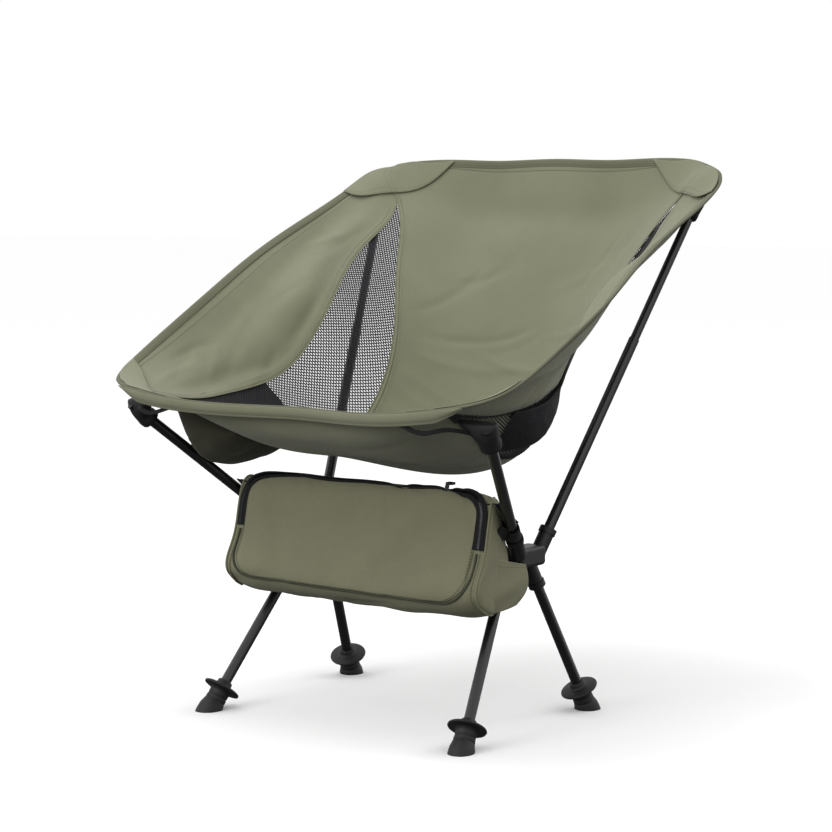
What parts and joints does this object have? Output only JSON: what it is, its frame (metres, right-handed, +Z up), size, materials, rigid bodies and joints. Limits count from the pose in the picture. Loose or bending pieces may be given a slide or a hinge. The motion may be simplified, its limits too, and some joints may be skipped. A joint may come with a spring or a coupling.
{
  "type": "ultralight backpacking chair",
  "caption": "Low camp chair: a fabric and mesh sling hung on four shock-corded aluminium poles in two moulded hubs, with splayed legs, rubber feet and a zipped stuff sack below.",
  "frame": {"origin": "on the floor, under the centre of the chair's bounding box", "axes": "+Z up; the sitter faces -Y; +X is the sitter's left"},
  "size_m": [0.5832, 0.5702, 0.6658],
  "materials": {
    "anodised_tube": "satin",
    "foot_rubber": "matte",
    "hub_plastic": "matte",
    "cap_plastic": "matte",
    "tip_plastic": "matte",
    "rivet_steel": "satin",
    "shock_cord": "matte",
    "mesh": "matte",
    "pocket_fabric": "matte",
    "webbing": "matte",
    "zipper_tape": "matte",
    "slider_metal": "gloss",
    "pull_plastic": "matte",
    "binding": "matte",
    "bag_fabric": "matte",
    "sling_fabric": "matte"
  },
  "bodies": {
    "frame": {"bag_front_panel": "bag_fabric", "bag_loop_left": "webbing", "bag_loop_right": "webbing", "bag_piping": "binding", "bag_shell": "bag_fabric", "binding_front": "binding", "binding_side_left": "binding", "binding_side_right": "binding", "binding_top": "binding", "crossbar": "anodised_tube", "crossbar_rivets": "rivet_steel", "front_cap_left": "cap_plastic", "front_cap_right": "cap_plastic", "front_leg_cord_left": "shock_cord", "front_leg_cord_right": "shock_cord", "front_patch_left": "sling_fabric", "front_patch_right": "sling_fabric", "front_pole_left": "anodised_tube", "front_pole_right": "anodised_tube", "front_pole_tip_left": "tip_plastic", "front_pole_tip_right": "tip_plastic", "front_strap_left": "webbing", "front_strap_right": "webbing", "hub_left": "hub_plastic", "hub_right": "hub_plastic", "mesh_panel_left": "mesh", "mesh_panel_right": "mesh", "rear_leg_cord_left": "shock_cord", "rear_leg_cord_right": "shock_cord", "rear_pocket_left": "webbing", "rear_pocket_right": "webbing", "rear_pole_cord_left": "shock_cord", "rear_pole_cord_right": "shock_cord", "rear_pole_lower_left": "anodised_tube", "rear_pole_lower_right": "anodised_tube", "rear_pole_tip_left": "tip_plastic", "rear_pole_tip_right": "tip_plastic", "rear_pole_upper_left": "anodised_tube", "rear_pole_upper_right": "anodised_tube", "seat_panel": "sling_fabric", "side_pocket_left": "mesh", "side_pocket_right": "pocket_fabric", "top_patch_left": "sling_fabric", "top_patch_right": "sling_fabric", "wing_panel_left": "sling_fabric", "wing_panel_right": "sling_fabric", "zipper_tape": "zipper_tape"},
    "front_leg_left": {"front_leg_left": "anodised_tube", "front_leg_foot_left": "foot_rubber"},
    "front_leg_right": {"front_leg_right": "anodised_tube", "front_leg_foot_right": "foot_rubber"},
    "rear_leg_left": {"rear_leg_left": "anodised_tube", "rear_leg_foot_left": "foot_rubber"},
    "rear_leg_right": {"rear_leg_right": "anodised_tube", "rear_leg_foot_right": "foot_rubber"},
    "zip_slider": {"zipper_slider": "slider_metal"},
    "zip_pull": {"zipper_pull": "pull_plastic"}
  },
  "joints": [
    {"name": "front_leg_left_pull_out", "type": "slide", "parent": "frame", "child": "front_leg_left", "axis": [0.1464, -0.589, -0.7948], "range_m": [0, 0.031], "stiffness_N_per_m": 250, "springref_m": -0.06},
    {"name": "front_leg_right_pull_out", "type": "slide", "parent": "frame", "child": "front_leg_right", "axis": [-0.1464, -0.589, -0.7948], "range_m": [0, 0.031], "stiffness_N_per_m": 250, "springref_m": -0.06},
    {"name": "rear_leg_left_pull_out", "type": "slide", "parent": "frame", "child": "rear_leg_left", "axis": [0.1377, 0.4236, -0.8953], "range_m": [0, 0.031], "stiffness_N_per_m": 250, "springref_m": -0.06},
    {"name": "rear_leg_right_pull_out", "type": "slide", "parent": "frame", "child": "rear_leg_right", "axis": [-0.1377, 0.4236, -0.8953], "range_m": [0, 0.031], "stiffness_N_per_m": 250, "springref_m": -0.06},
    {"name": "zip_travel", "type": "slide", "parent": "frame", "child": "zip_slider", "axis": [1, 0, 0], "range_m": [-0.262, 0.03]},
    {"name": "zip_pull_swing", "type": "hinge", "parent": "zip_slider", "child": "zip_pull", "pos_m": [0.118, -0.12206, 0.292], "axis": [-1, 0, 0], "range_deg": [0, 100]}
  ]
}
